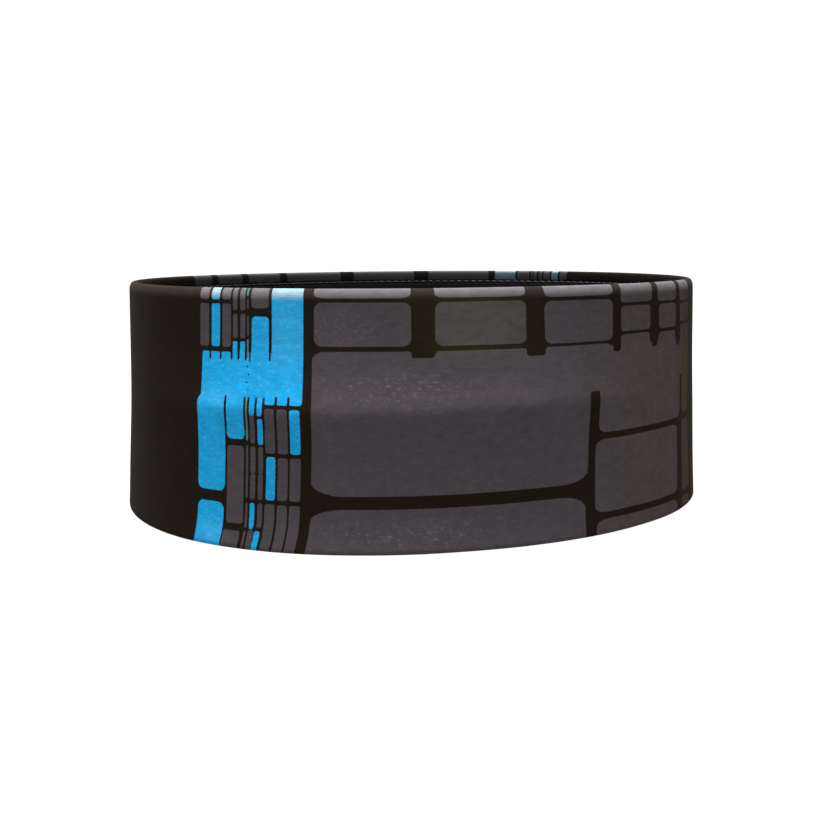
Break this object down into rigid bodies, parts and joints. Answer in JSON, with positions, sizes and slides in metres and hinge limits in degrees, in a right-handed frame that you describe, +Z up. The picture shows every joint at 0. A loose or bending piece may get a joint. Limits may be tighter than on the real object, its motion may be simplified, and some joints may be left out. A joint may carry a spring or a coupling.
{
  "type": "sports headband",
  "caption": "Wide tubular stretch-knit sports headband: a printed outer tube turned over the edges onto a plain black lining, standing open as an oval hoop.",
  "frame": {"origin": "middle of the oval, on the surface that the band's lower edge stands on", "axes": "+Z up through the head opening, +X along the oval's longer width, -Y towards the front"},
  "size_m": [0.17, 0.144, 0.064],
  "materials": {
    "printed_knit": "matt fine-gauge stretch knit, printed with charcoal and bright blue rounded cells between black lines",
    "lining_knit": "matt black wicking knit",
    "sewing_thread": "black textured polyester thread with a faint sheen",
    "label_satin": "off-white blank satin tape"
  },
  "bodies": {
    "root": {"outer_layer": "printed_knit", "inner_layer": "lining_knit", "upper_seam_thread": "sewing_thread", "lower_seam_thread": "sewing_thread", "upper_overlock_thread": "sewing_thread", "lower_overlock_thread": "sewing_thread", "closing_stitches": "sewing_thread", "care_label": "label_satin", "label_stitches": "sewing_thread"}
  },
  "joints": []
}
